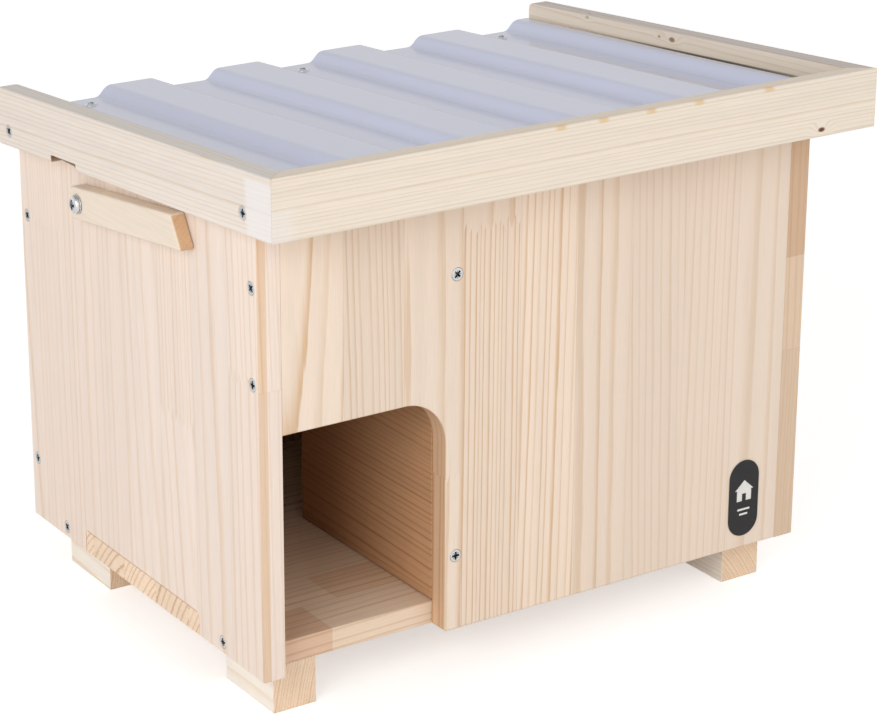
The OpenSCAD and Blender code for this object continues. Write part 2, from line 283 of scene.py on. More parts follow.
def slab(bm, size, taper, matrix):
    """Adds a box that reaches this deep below z = 0 and a little above it, its foot narrowed to taper."""
    x, y, depth = size[0] / 2, size[1] / 2, size[2]
    above = 0.2 * depth
    top = [(-x, -y), (x, -y), (x, y), (-x, y)]
    upper = [bm.verts.new(matrix @ Vector((a, b, above))) for a, b in top]
    lower = [bm.verts.new(matrix @ Vector((a * taper, b * taper, -depth))) for a, b in top]
    bm.faces.new(upper)
    bm.faces.new(lower[::-1])
    for i in range(4):
        j = (i + 1) % 4
        bm.faces.new((upper[i], lower[i], lower[j], upper[j]))


def subtract(obj, cutter):
    """Cuts one object out of another and removes the cutter."""
    cut = obj.modifiers.new("cut", "BOOLEAN")
    cut.operation = "DIFFERENCE"
    cut.solver = "EXACT"
    cut.use_self = True
    cut.object = cutter
    bake_modifiers(obj)
    bpy.data.objects.remove(cutter)


def take_mesh(obj):
    """An object's mesh, without the object."""
    mesh = obj.data
    bpy.data.objects.remove(obj)
    return mesh


def copies(name, mesh, matrices):
    """One object that holds a copy of mesh at each matrix."""
    bm = bmesh.new()
    for matrix in matrices:
        start = len(bm.verts)
        bm.from_mesh(mesh)
        bm.verts.ensure_lookup_table()
        bmesh.ops.transform(bm, matrix=matrix, verts=bm.verts[start:])
    return link(name, bm)


def drill(obj, profile, steps, places):
    """Cuts the solid of revolution of this profile out of an object at each place."""
    bit = take_mesh(link("bit", lathe(profile, steps)))
    subtract(obj, copies("cutter", bit, places))


def dress(obj, name, body, material, nodes=(), sharp=BOARD_SHARP):
    """Names and shades a finished mesh, gives it its material and body, and hides the CAD nodes it stands
    for.
    """
    obj.name = name
    obj.data.name = name
    obj.data.materials.clear()
    obj.data.materials.append(material)
    shade(obj, sharp)
    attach(obj, body)
    if nodes:
        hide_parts(*nodes)
    return obj


# ---------------- node trees

class Graph:
    """Short calls that build a node tree. Every value is a socket or a plain value."""

    def __init__(self, tree):
        self.tree = tree

    def feed(self, socket, value):
        if isinstance(value, bpy.types.NodeSocket):
            self.tree.links.new(value, socket)
        else:
            socket.default_value = value

    def node(self, kind, inputs=None, **settings):
        made = self.tree.nodes.new(kind)
        for key, value in settings.items():
            setattr(made, key, value)
        for key, value in (inputs or {}).items():
            self.feed(made.inputs[key], value)
        return made

    def math(self, operation, *values):
        made = self.node("ShaderNodeMath", operation=operation)
        for socket, value in zip(made.inputs, values):
            self.feed(socket, value)
        return made.outputs[0]

    def add(self, a, b):
        return self.math("ADD", a, b)

    def less(self, a, b):
        return self.math("SUBTRACT", a, b)

    def times(self, a, b):
        return self.math("MULTIPLY", a, b)

    def ramp(self, value, slope, start):
        return self.math("MULTIPLY_ADD", value, slope, start)

    def step(self, value, low, high, to_low=0.0, to_high=1.0):
        """A smooth step of value, from to_low at low to to_high at high."""
        inputs = {"Value": value, "From Min": low, "From Max": high, "To Min": to_low, "To Max": to_high}
        return self.node("ShaderNodeMapRange", inputs, interpolation_type="SMOOTHSTEP").outputs[0]

    def mix(self, factor, a, b, blend="MIX"):
        made = self.node("ShaderNodeMix", data_type="RGBA", blend_type=blend)
        self.feed(made.inputs[0], factor)
        self.feed(made.inputs[6], a)
        self.feed(made.inputs[7], b)
        return made.outputs[2]

    def tint(self, color, by):
        return self.mix(1.0, color, by, "MULTIPLY")

    def grey(self, value):
        return self.vector(value, value, value)

    def vector(self, x, y, z):
        return self.node("ShaderNodeCombineXYZ", {"X": x, "Y": y, "Z": z}).outputs[0]

    def split(self, vector):
        return self.node("ShaderNodeSeparateXYZ", {0: vector}).outputs

    def scaled(self, vector, factors):
        made = self.node("ShaderNodeVectorMath", {0: vector, 1: factors}, operation="MULTIPLY")
        return made.outputs[0]

    def noise(self, vector, scale, detail=2.0, roughness=0.5):
        inputs = {"Vector": vector, "Scale": scale, "Detail": detail, "Roughness": roughness}
        return self.node("ShaderNodeTexNoise", inputs).outputs[0]

    def openness(self, distance, samples=4):
        """1 in the open, less in corners and gaps up to this distance wide."""
        return self.node("ShaderNodeAmbientOcclusion", {"Distance": distance}, samples=samples).outputs["AO"]

    def chance(self, x, y, z):
        """Three random values from 0 to 1 for whole numbers x, y, z."""
        made = self.node("ShaderNodeTexWhiteNoise", {"Vector": self.vector(x, y, z)}, noise_dimensions="3D")
        return self.split(made.outputs["Color"])


def new_material(name):
    """A material, its empty graph and its coordinates by name."""
    material = bpy.data.materials.new(name)
    material.use_nodes = True
    material.node_tree.nodes.clear()
    g = Graph(material.node_tree)
    return material, g, g.node("ShaderNodeTexCoord").outputs


def finish_material(g, color, roughness, height, bump_distance, **more):
    """Principled shader with bump, wired to the output. Further Principled inputs go in more."""
    bump = g.node("ShaderNodeBump", {"Height": height, "Distance": bump_distance, "Strength": 1.0})
    inputs = {"Base Color": color, "Roughness": roughness, "Normal": bump.outputs[0]}
    for key, value in more.items():
        inputs[key.replace("_", " ")] = value
    shader = g.node("ShaderNodeBsdfPrincipled", inputs)
    out = g.node("ShaderNodeOutputMaterial")
    g.tree.links.new(shader.outputs[0], out.inputs["Surface"])


def linear(red, green, blue):
    """A colour given as 0-255 screen values, as linear light for a shader."""
    def one(value):
        value /= 255
        return value / 12.92 if value <= 0.04045 else ((value + 0.055) / 1.055) ** 2.4
    return one(red), one(green), one(blue), 1.0


WOOD_INPUTS = {
    "Vector": ("Board",),
    "Float": (
        "Seed", "Lamella", "Section", "Ring", "Contrast", "Wander", "Start", "Warp", "Knot", "End", "Edge",
    ),
    "Color": ("Pale", "Late", "End Tint"),
}
FINGER = 3 * MM            # half the pitch of a finger joint's zigzag
FINGER_SLOPE = 3.2         # its length over that


def wood_cut(g, given, along, across):
    """The lamella and the section of it that a point lies in, and the random values of both."""
    seed = given["Seed"]
    strips = g.add(g.math("DIVIDE", across, given["Lamella"]), g.times(seed, 0.37))
    strip = g.math("FLOOR", strips)
    in_strip = g.less(g.math("FRACT", strips), 0.5)
    finger = g.times(g.math("PINGPONG", across, FINGER), FINGER_SLOPE)
    strip_luck = g.chance(strip, seed, 3.0)
    sections = g.add(g.math("DIVIDE", g.add(along, finger), given["Section"]), strip_luck[0])
    section = g.math("FLOOR", sections)
    in_section = g.math("FRACT", sections)
    luck = g.chance(strip, section, seed)
    more_luck = g.chance(section, strip, g.add(seed, 11.0))
    return SimpleNamespace(strip=strip, in_strip=in_strip, section=section, in_section=in_section,
                           luck=luck, more_luck=more_luck)


def wood_rings(g, given, board, cut):
    """How much of the dark late wood of a growth ring a point holds.

    The rings run round the lamella's own pith, which leans a little along the grain and wanders."""
    strip, section, luck, more_luck = cut.strip, cut.section, cut.luck, cut.more_luck
    along, _, through = g.split(board)[0:3]
    slow = g.noise(g.scaled(board, (2.2, 7.0, 7.0)), 1.0, 2.0)
    wander = g.times(g.less(slow, 0.5), given["Wander"])
    lean_a = g.times(along, g.ramp(luck[0], 0.024, -0.012))
    lean_b = g.times(along, g.ramp(luck[1], 0.05, -0.025))
    half_off = g.ramp(luck[2], 0.14, 0.022)
    beside = g.add(g.times(cut.in_strip, given["Lamella"]), g.add(lean_a, half_off))
    deep = g.ramp(more_luck[0], 0.04, 0.02)
    behind = g.add(g.add(through, deep), lean_b)
    radius = g.math("SQRT", g.add(g.math("POWER", beside, 2.0), g.math("POWER", behind, 2.0)))
    radius = g.add(g.add(radius, wander), given["Warp"])
    pitch = g.times(given["Ring"], g.ramp(more_luck[1], 0.7, 0.65))
    years = g.math("DIVIDE", radius, pitch)
    uneven = g.noise(g.vector(g.times(years, 0.31), strip, section), 1.0, 1.0)
    ragged = g.noise(g.scaled(board, (9.0, 300.0, 300.0)), 1.0, 3.0, 0.6)
    years = g.add(g.ramp(uneven, 2.2, years), g.times(ragged, 0.34))
    ring = g.math("FRACT", years)
    late = g.times(g.step(ring, given["Start"], 0.93), g.step(ring, 0.93, 1.0, 1.0, 0.0))
    season = g.noise(g.vector(g.times(years, 0.83), section, strip), 1.0, 1.0)
    return g.times(late, g.step(season, 0.3, 0.66, 0.3, 1.0))


def wood_grit(g, given, board):
    """Fine fibres on the faces and fine pores on the ends."""
    fibre = g.noise(g.scaled(board, (34.0, 1500.0, 1500.0)), 1.0, 3.0, 0.7)
    speckle = g.noise(board, 1300.0, 2.0, 0.8)
    grit = g.mix(given["End"], g.grey(fibre), g.grey(speckle))
    return g.split(grit)[0]


def wood_tone(g, given, board, cut, late, grit):
    """Rings over pale wood, each lamella with its own tone and warmth, under long soft streaks."""
    streak = g.noise(g.scaled(board, (1.6, 75.0, 75.0)), 1.0, 3.0, 0.55)
    strength = g.times(given["Contrast"], g.ramp(cut.more_luck[2], 0.6, 0.7))
    strength = g.ramp(given["End"], 0.3, strength)
    color = g.mix(g.times(late, strength), given["Pale"], given["Late"])
    tone = g.add(g.times(g.less(cut.luck[1], 0.5), 0.11), g.ramp(streak, 0.16, 0.92))
    roughened = g.times(g.less(grit, 0.5), g.ramp(given["End"], 0.3, 0.24))
    tone = g.times(tone, g.add(roughened, 1.0))
    warmth = g.mix(cut.luck[2], (1.0, 0.985, 0.96, 1.0), (1.0, 0.97, 0.935, 1.0))
    return g.tint(g.tint(color, g.grey(tone)), warmth)


def wood_glue(g, given, cut):
    """The thin glue lines between lamellas and at finger joints."""
    strip_gap = g.times(g.less(0.5, g.math("ABSOLUTE", cut.in_strip)), given["Lamella"])
    joint_gap = g.times(cut.in_section, given["Section"])
    glue = g.step(strip_gap, 0.0, 0.35 * MM, 0.15, 0.0)
    return g.math("MAXIMUM", glue, g.step(joint_gap, 0.0, 0.5 * MM, 0.2, 0.0))


def wood_group():
    """Sawn pine in board coordinates: x along the grain, y across the face, z through the board, in metres.

    Lamellas of random cut are glued side by side and finger-jointed end to end. Each shows the growth rings
    of its own pith, so faces carry stripes or arches and ends carry ring arcs."""
    tree = bpy.data.node_groups.new("sawn_pine", "ShaderNodeTree")
    for kind, names in WOOD_INPUTS.items():
        for name in names:
            tree.interface.new_socket(name, in_out="INPUT", socket_type="NodeSocket" + kind)
    for name, kind in (("Color", "Color"), ("Roughness", "Float"), ("Height", "Float")):
        tree.interface.new_socket(name, in_out="OUTPUT", socket_type="NodeSocket" + kind)
    g = Graph(tree)
    given = g.node("NodeGroupInput").outputs
    board = given["Board"]
    along, across, _ = g.split(board)[0:3]
    cut = wood_cut(g, given, along, across)
    late = wood_rings(g, given, board, cut)
    grit = wood_grit(g, given, board)
    color = wood_tone(g, given, board, cut, late, grit)
    line = wood_glue(g, given, cut)
    color = g.mix(line, color, linear(150, 116, 82))
    color = g.mix(given["End"], color, g.tint(color, given["End Tint"]))
    color = g.mix(given["Knot"], color, linear(112, 66, 36))
    color = g.mix(g.times(given["Edge"], 0.35), color, g.tint(color, linear(245, 236, 222)))
    rough = g.ramp(late, -0.06, g.ramp(grit, 0.16, 0.52))
    height = g.add(g.times(late, 0.35), g.times(grit, 0.65))
    height = g.less(height, g.times(line, 1.2))
    g.node("NodeGroupOutput", {"Color": color, "Roughness": rough, "Height": height})
    return tree


SAWN_PINE = wood_group()


def knot_field(g, board, knots):
    """Ring shift and darkness of knots, each (along, across, radius, strength) in board coordinates."""
    warp = 0.0
    dark = 0.0
    along, across = g.split(board)[0:2]
    for at, side, radius, strength in knots:
        length = g.times(g.less(along, at), 0.55)
        width = g.less(across, side)
        distance = g.math("SQRT", g.add(g.math("POWER", length, 2.0), g.math("POWER", width, 2.0)))
        share = g.math("DIVIDE", distance, radius)
        warp = g.add(warp, g.step(share, 0.0, 4.0, 2.2 * radius, 0.0))
        dark = g.math("MAXIMUM", dark, g.step(share, 0.5, 1.1, strength, 0.0))
    return warp, dark


def patch_share(g, board, patch):
    """How far a point lies inside a patch, which has a range along, across or through the board."""
    share = patch.get("share", 1.0)
    soft = patch.get("soft", 0.3 * MM)
    for value, key in zip(g.split(board)[0:3], ("along", "across", "through")):
        if key in patch:
            low, high = patch[key]
            edge = patch.get("fade", soft) if key == "along" else soft
            share = g.times(share, g.step(value, low - edge, low + edge))
            share = g.times(share, g.step(value, high - edge, high + edge, 1.0, 0.0))
    return share


def pine(name, axes, seed, lamella=0.05, section=0.45, ring=0.0045, contrast=0.55, wander=0.004,
         pale=(238, 220, 206), late=(222, 190, 158), end_tint=(244, 226, 204), tilt=0.0, knots=(), patches=(),
         start=0.55, corner_shade_level=0.72, bump=0.14):
    """A pine material. axes names the object axes along, across and through the board, tilt turns it about x.

    start is the share of a growth ring that stays pale, dirt the brightness that painted shade leaves in
    closed corners and gaps, and bump the depth of the grain in millimetres."""
    material, g, coords = new_material(name)
    turn = {"Rotation": (tilt, 0.0, 0.0)}
    place = g.node("ShaderNodeMapping", {"Vector": coords["Object"], **turn}).outputs[0]
    normal = g.node("ShaderNodeMapping", {"Vector": coords["Normal"], **turn}).outputs[0]
    xyz = g.split(place)
    order = ["xyz".index(a) for a in axes]
    board = g.vector(*(xyz[i] for i in order))
    facing = g.math("ABSOLUTE", g.split(normal)[order[0]])
    end = g.step(facing, 0.55, 0.9)
    bevelled = g.node("ShaderNodeBevel", {"Radius": 1.6 * MM}, samples=4).outputs[0]
    true_normal = g.node("ShaderNodeNewGeometry").outputs["Normal"]
    same = g.node("ShaderNodeVectorMath", {0: bevelled, 1: true_normal}, operation="DOT_PRODUCT")
    edge = g.step(same.outputs["Value"], 0.9, 0.995, 1.0, 0.0)
    warp, dark = knot_field(g, board, knots)
    values = {
        "Board": board, "Seed": float(seed), "Lamella": lamella, "Section": section, "Ring": ring,
        "Contrast": contrast, "Wander": wander, "Start": start, "Warp": warp, "Knot": dark,
        "End": end, "Edge": edge, "Pale": linear(*pale), "Late": linear(*late), "End Tint": linear(*end_tint),
    }
    wood = g.node("ShaderNodeGroup", values, node_tree=SAWN_PINE)
    color = wood.outputs["Color"]
    for patch in patches:
        if "paint" in patch:
            toned = linear(*patch["paint"])
        else:
            toned = g.tint(color, linear(*patch["tint"]))
        color = g.mix(patch_share(g, board, patch), color, toned)
    # Painted shade: the colour is darkened and warmed in closed corners and gaps up to 9 mm wide.
    unshaded = g.step(g.openness(9 * MM), 0.1, 0.75, corner_shade_level, 1.0)
    color = g.tint(color, g.vector(unshaded, g.math("POWER", unshaded, 1.1), g.math("POWER", unshaded, 1.25)))
    rough, height = wood.outputs["Roughness"], wood.outputs["Height"]
    finish_material(g, color, rough, height, bump * MM, Specular_IOR_Level=0.32)
    return material


def steel(name, tone, roughness, recess=0.35, tint=(1.0, 1.0, 1.0)):
    """Plated steel with faint blotches and fine scratches, and painted shade in its crevices: recess is the
    brightness left there.
    """
    material, g, coords = new_material(name)
    place = coords["Object"]
    blotch = g.noise(place, 420.0, 3.0, 0.6)
    scratch = g.noise(g.scaled(place, (5200.0, 900.0, 5200.0)), 1.0, 2.0, 0.7)
    level = g.ramp(blotch, 0.22, tone - 0.11)
    # Painted shade: darker in crevices such as the cross recesses of the screws.
    level = g.times(level, g.step(g.openness(2.4 * MM, 6), 0.35, 0.9, recess, 1.0))
    color = g.vector(*(g.times(level, t) for t in tint))
    rough = g.ramp(g.add(blotch, scratch), 0.16, roughness - 0.16)
    height = g.ramp(scratch, 0.5, blotch)
    finish_material(g, color, rough, height, 0.02 * MM, Metallic=1.0)
    return material


def sheet_plastic():
    """Smooth grey-lavender sheet with a soft sheen, faint haze and dust, and painted shade in its hollows and
    beside the boards.
    """
    material, g, coords = new_material("roof_sheet_plastic")
    place = coords["Object"]
    haze = g.noise(g.scaled(place, (14.0, 3.0, 14.0)), 1.0, 3.0, 0.5)
    dust = g.noise(place, 900.0, 2.0, 0.6)
    level = g.ramp(haze, 0.10, 0.95)
    level = g.ramp(dust, 0.04, g.less(level, 0.02))
    color = g.tint(linear(212, 216, 236), g.grey(level))
    # Painted shade: darker towards a dark grey in the sheet's hollows and in the gaps beside the boards.
    color = g.mix(g.step(g.openness(12 * MM), 0.15, 0.8, 0.45, 0.0), color, linear(120, 124, 146))
    rough = g.ramp(haze, 0.10, 0.08)
    height = g.add(haze, g.times(dust, 0.04))
    finish_material(g, color, rough, height, 0.08 * MM, Specular_IOR_Level=0.55)
    return material


def flat_plastic(name, shade_255, roughness):
    """Moulded plastic or print, with a little mottling and fine texture."""
    material, g, coords = new_material(name)
    place = coords["Object"]
    mottle = g.noise(place, 260.0, 3.0, 0.6)
    grain = g.noise(place, 2600.0, 2.0, 0.6)
    level = g.ramp(mottle, 0.24, 0.88)
    color = g.tint(linear(*shade_255), g.grey(level))
    rough = g.ramp(grain, 0.15, roughness)
    finish_material(g, color, rough, g.add(mottle, grain), 0.02 * MM)
    return material


# ---------------- materials

ONE_PIECE = {"lamella": 1.0, "section": 3.0}

# Patches may start or stop well outside a board.
FROM_START = -1.0
TO_END = 1.0

# The back wall's inside gets painted shade, the front wall's inside and cut edges are darker, and the front's
# right part is calmer.
BACK_INSIDE_SHADE = {"through": (back_low.y - MM, back_low.y + MM), "tint": (174, 156, 140)}
JAMB = {"through": (front_low.y + 1.2 * MM, front_high.y + MM), "tint": (238, 215, 192)}
CALM_FROM = front_low.x + 0.62 * (front_high.x - front_low.x)
CALM_PART = {"across": (CALM_FROM, TO_END), "soft": 30 * MM, "paint": (237, 219, 202), "share": 0.42}
FRONT_PINE = pine("pine_front", "zxy", 4, section=0.9, ring=0.004, contrast=0.85,
                  pale=(240, 223, 207), late=(214, 178, 138), patches=[BACK_INSIDE_SHADE, JAMB, CALM_PART])

# The left side board shows a browner strip on its front edge.
BARE_EDGE = {"across": (left_low.y - MM, left_low.y + 1.2 * MM),
             "through": (left_low.x - MM, left_low.x + 6.5 * MM), "tint": (244, 230, 212)}
SIDE_PINE = pine("pine_side_left", "zyx", 9, section=0.9, pale=(241, 227, 217), late=(227, 198, 170),
                 patches=[BARE_EDGE])

# The right side board starts with a browner strip, finger-jointed at this height.
STRIP_JOINT = left_low.z + 0.68 * (left_high.z - left_low.z)
STRIP_SPAN = (right_low.y - 16 * MM, right_low.y + 16 * MM)
UPPER_STRIP = {"along": (STRIP_JOINT, TO_END), "across": STRIP_SPAN, "tint": (226, 205, 182)}
LOWER_STRIP = {"along": (FROM_START, STRIP_JOINT), "across": STRIP_SPAN, "tint": (240, 227, 209)}
RIGHT_PINE = pine("pine_side_right", "zyx", 12, section=0.9, pale=(241, 227, 217), late=(227, 198, 170),
                  patches=[UPPER_STRIP, LOWER_STRIP])

# The floor's first strip is finger-jointed in the entrance, and a browner one lies behind it.
FLOOR_JOINT = left_high.x + 0.37 * (partition_low.x - left_high.x)
FLOOR_STRIP = 42 * MM
PINK_STRIP = {"along": (FROM_START, FLOOR_JOINT), "across": (FROM_START, floor_low.y + FLOOR_STRIP),
              "tint": (244, 230, 222)}
BROWN_STRIP = {"along": (FLOOR_JOINT + 0.03, TO_END), "tint": (248, 239, 231),
               "across": (floor_low.y + FLOOR_STRIP, floor_low.y + 2 * FLOOR_STRIP)}
FLOOR_PINE = pine("pine_floor", "xyz", 19, contrast=0.6, ring=0.0065, pale=(248, 226, 203), corner_shade_level=0.92,
                  late=(208, 166, 126), end_tint=(255, 254, 253), patches=[PINK_STRIP, BROWN_STRIP])
# Painted shade: the partition inside the box is darker than the other boards, and darker still towards the
# back.
DEEP_INSIDE_SHADE = {"along": (-0.03, TO_END), "fade": 0.06, "tint": (198, 180, 164)}
PARTITION_PINE_SHADED = pine("pine_partition_shaded", "yzx", 21, contrast=0.7, pale=(197, 154, 117), late=(156, 108, 70),
                      patches=[DEEP_INSIDE_SHADE])

# The fascia: resin stains at these x along its upper edge, a painted highlight on its left end and one knot.
RESIN_AT = (-0.028, 0.0085, 0.05, 0.093, 0.157)
FASCIA_KNOT = (0.208, 0.382, 2.1 * MM, 1.0)    # along, across, radius and strength


def resin_stain(x):
    return {"along": (x - 4 * MM, x + 4 * MM), "across": (fascia_high.z - 3 * MM, TO_END),
            "through": (FROM_START, fascia_low.y + 2 * MM), "tint": (244, 222, 182),
            "soft": 1.2 * MM, "fade": 2.5 * MM, "share": 0.85}


# Painted highlight: a whitish patch on the front face of the fascia's left end, at the rounded corner.
FASCIA_CORNER_HIGHLIGHT = {"along": (FROM_START, fascia_low.x + 17 * MM), "across": (0.0, fascia_high.z - 22 * MM),
               "through": (FROM_START, fascia_low.y + 0.5 * MM), "paint": (243, 240, 240), "share": 0.5,
               "soft": 2.5 * MM, "fade": 6 * MM}
FASCIA_PINE = pine("pine_fascia", "xzy", 33, **ONE_PIECE, contrast=0.45, ring=0.0027, start=0.5,
                   pale=(246, 236, 223), late=(224, 198, 166), knots=[FASCIA_KNOT],
                   patches=[FASCIA_CORNER_HIGHLIGHT] + [resin_stain(x) for x in RESIN_AT])

# The lid's left board: painted shade on its top, a painted highlight on its front end and the shaded notch
# for the prop.
# Painted highlight: a whitish patch on the outer face of the board's front end, at the rounded corner.
LID_END_HIGHLIGHT = {"along": (FROM_START, lid_left_low.y + 8 * MM), "soft": 1.2 * MM, "fade": 3.5 * MM,
            "across": (lid_across(2 * MM), lid_across(LID_BOARD_H - 5 * MM)), "paint": (243, 240, 242),
            "through": (lid_left_low.x - MM, lid_left_low.x + 0.5 * MM), "share": 0.8}
# The tops of the lid's side boards get painted shade: a greyer, bluer tint where less light falls from above.
LID_TOP = (lid_across(LID_BOARD_H - 0.6 * MM), TO_END)
NOTCH_DEPTH = prop_notch[1].z - lid_line(prop_notch[1].y, 0)
NOTCH_SHADE = {"along": lid_along(prop_notch[0].y, prop_notch[1].y), "tint": (150, 124, 106),
               "across": (0.0, lid_across(NOTCH_DEPTH - 0.2 * MM))}
LID_LEFT_PINE = pine("pine_lid_left", "yzx", 33, **ONE_PIECE, contrast=0.5, ring=0.0029, wander=0.007,
                     pale=(242, 234, 227), late=(226, 202, 173), tilt=SLOPE,
                     patches=[LID_END_HIGHLIGHT, {"across": LID_TOP, "tint": (247, 251, 255)}, NOTCH_SHADE])

# The right board: painted shade on its top, small knots on its inner face and the shaded gap beside the
# sheet. Each knot has its y, its height on the board, its radius and its strength.
KNOTS_AT = ((0.006, 0.0385, 2.4 * MM, 0.75), (0.022, 0.039, 1.3 * MM, 0.55), (0.1165, 0.0425, 1.6 * MM, 0.4))
RIGHT_KNOTS = [(lid_along(y)[0], lid_across(height), *knot) for y, height, *knot in KNOTS_AT]
GAP_SHADE = {"along": (lid_right_low.y + FRAME_T, lid_right_high.y - 0.15), "fade": 0.12, "soft": 0.5 * MM,
             "across": (lid_across(12 * MM), lid_across(SHEET_TOP)), "paint": (92, 80, 74), "share": 0.9,
             "through": (lid_right_low.x - MM, lid_right_low.x + 0.6 * MM)}
LID_RIGHT_PINE = pine("pine_lid_right", "yzx", 47, **ONE_PIECE, contrast=0.5, ring=0.0036,
                      pale=(240, 229, 213), late=(222, 194, 160), wander=0.012, tilt=SLOPE, knots=RIGHT_KNOTS,
                      patches=[{"across": LID_TOP, "tint": (233, 236, 250)}, GAP_SHADE])

BATTEN_PINE = pine("pine_battens", "xyz", 52, **ONE_PIECE, tilt=SLOPE)
# Painted light: the feet's colours are lightened to stand in for light bounced into the shade under the box.
FOOT_PINE = pine("pine_feet_lightened", "yxz", 63, **ONE_PIECE, contrast=0.5, ring=0.0028, start=0.45,
                 pale=(255, 250, 242), late=(236, 210, 184), end_tint=(248, 228, 208), corner_shade_level=0.97, bump=0.5)
PROP_PINE = pine("pine_prop", "yzx", 71, **ONE_PIECE, contrast=0.3, ring=0.003,
                 pale=(240, 228, 214), late=(228, 208, 184), end_tint=(228, 200, 170), corner_shade_level=0.9)
# Strong painted shade in the cross recesses of the screws' heads.
SCREW_STEEL = steel("zinc_plated_steel", 0.92, 0.27, recess=0.1, tint=(0.96, 1.0, 1.04))
HINGE_STEEL = steel("hinge_steel", 0.55, 0.36)
SHEET_PLASTIC = sheet_plastic()
LABEL_BLACK = flat_plastic("label_black", (30, 29, 31), 0.38)
LABEL_WHITE = flat_plastic("label_white", (232, 230, 226), 0.42)


# ---------------- screws

screw_low, screw_high = islands("side_panel_screws")[0]
HEAD_R = (screw_high.z - screw_low.z) / 2
HEAD_SINK = 0.12 * MM      # how far a head lies below the wood
HEAD_RIM = 0.5 * MM        # height of a head's rim over its cone
SHANK_R = 2.0 * MM
SCREW_SHARP = 0.5          # radians, as BOARD_SHARP
GOLDEN_ANGLE = math.radians(137.5)


def cut_recess(screw, size, depth, top=0.0):
    """Cuts a cross recess with small star marks between its arms into a head whose face is at z = top."""
    bm = bmesh.new()
    for turn in range(2):
        slab(bm, (size, 0.27 * size, depth), 0.6, Matrix.Rotation(turn * math.pi / 2, 4, "Z"))
    for turn in range(2):
        angle = math.pi / 4 + turn * math.pi / 2
        slab(bm, (0.95 * size, 0.07 * size, 0.16 * depth), 0.9, Matrix.Rotation(angle, 4, "Z"))
    recess = link("recess", bm)
    recess.data.transform(Matrix.Translation((0, 0, top)))
    subtract(screw, recess)


def screw_mesh(length, head_r=HEAD_R, shank_r=SHANK_R):
    """A countersunk screw along -z, its head's face just under z = 0."""
    cone_top = -HEAD_SINK - HEAD_RIM
    profile = [
        (0, -HEAD_SINK), (0.78 * head_r, -HEAD_SINK - 0.02 * MM), (0.95 * head_r, -HEAD_SINK - 0.12 * MM),
        (head_r, -HEAD_SINK - 0.32 * MM), (head_r - 0.1 * MM, cone_top),
        (shank_r, cone_top - head_r + shank_r), (shank_r, -length + 2 * shank_r), (0, -length),
    ]
    obj = link("screw", lathe(profile))
    cut_recess(obj, 1.4 * head_r, 0.7 * head_r)
    return take_mesh(obj)


def driven(index):
    """The turn about its own axis that a set's screw of this number stopped at."""
    return Matrix.Rotation(index * GOLDEN_ANGLE, 4, "Z")


def find_heads(node, axis, end):
    """For each screw of a node, the middle of its head's face and the direction that it looks in."""
    heads = []
    for low, high in islands(node):
        point = (low + high) / 2
        outward = Vector((0, 0, 0))
        outward[axis] = end or math.copysign(1, point[axis])
        point[axis] = high[axis] if outward[axis] > 0 else low[axis]
        heads.append((point, outward))
    return heads


# Each set's body, the axis its screws are driven along and the end that holds their heads.
LOW, HIGH, OUTER = -1, 1, 0
SCREW_SETS = {
    "side_panel_screws": ("box", 0, OUTER),
    "front_panel_screws": ("box", 1, LOW),
    "foot_screws": ("box", 2, LOW),
    "lid_frame_screws": ("lid", 0, OUTER),
}
WOOD_SCREW = screw_mesh(45 * MM)
screw_heads = {}
for node, (body, axis, end) in SCREW_SETS.items():
    screw_heads[node] = find_heads(node, axis, end)
    places = [stand(*head) @ driven(index) for index, head in enumerate(screw_heads[node])]
    heads = copies(node, WOOD_SCREW, places)
    dress(heads, "countersunk_" + node, body, SCREW_STEEL, [node], sharp=SCREW_SHARP)


def countersink(obj, nodes, box):
    """Cuts the seats of the screws whose heads lie on or in this box, with slightly torn rims."""
    rim = 0.35 * MM
    low, high = box
    near = []
    for node in nodes:
        for point, outward in screw_heads[node]:
            if all(low[i] - MM < point[i] < high[i] + MM for i in range(3)):
                near.append(stand(point, outward))
    if not near:
        return
    depth = HEAD_R + rim - SHANK_R
    profile = [
        (0, MM), (HEAD_R + rim + 0.2 * MM, MM), (HEAD_R + rim, 0.0),
        (HEAD_R + 0.12 * MM, -0.5 * MM), (SHANK_R, -depth), (0, -depth - 0.4 * MM),
    ]
    drill(obj, profile, 28, near)


# ---------------- walls

def board(name, node, body, material, outline, axis, screws=(), **shape):
    """A pine prism as long as a CAD node's box along axis, with the seats of its screws."""
    low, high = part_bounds(node)
    side = "xyz".index(axis)
    piece = prism(outline, axis, (low[side], high[side]), **shape)
    countersink(piece, screws, (low, high))
    dress(piece, name, body, material, [node])


TONGUE_PLAY = 0.6 * MM
TONGUE_R = 5 * MM
tongue_low, tongue_high = part_box("floor_panel", lambda v: v.x < left_high.x - 0.5 * WALL_T)


def slot_edge(low, high, top, radius):
    """The outline of a slot open at the bottom, walked from its high end to its low end."""
    points = [(high, left_low.z)]
    points += arc((high - radius, top - radius), radius, 0, 90, 4)
    points += arc((low + radius, top - radius), radius, 90, 180, 4)
    return points + [(low, left_low.z)]


def side_wall(name, node, material):
    low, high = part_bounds(node)
    outline = [(low.y, low.z), (low.y, wall_top(low.y)), (high.y, wall_top(high.y)), (high.y, low.z)]
    slot = slot_edge(tongue_low.y - TONGUE_PLAY, tongue_high.y + TONGUE_PLAY,
                     tongue_high.z + TONGUE_PLAY, TONGUE_R)
    shares = {len(outline) + i: TIGHT for i in range(len(slot) - 1)}
    board(name, node, "box", material, outline + slot, "x", ["side_panel_screws"],
          shares={0: TIGHT, 2: TIGHT, **shares})


def follow_wall_top(co):
    """Gives a cross wall's top the slope of the side walls."""
    if co.z > back_high.z - 5 * MM:
        co.z = wall_top(co.y)


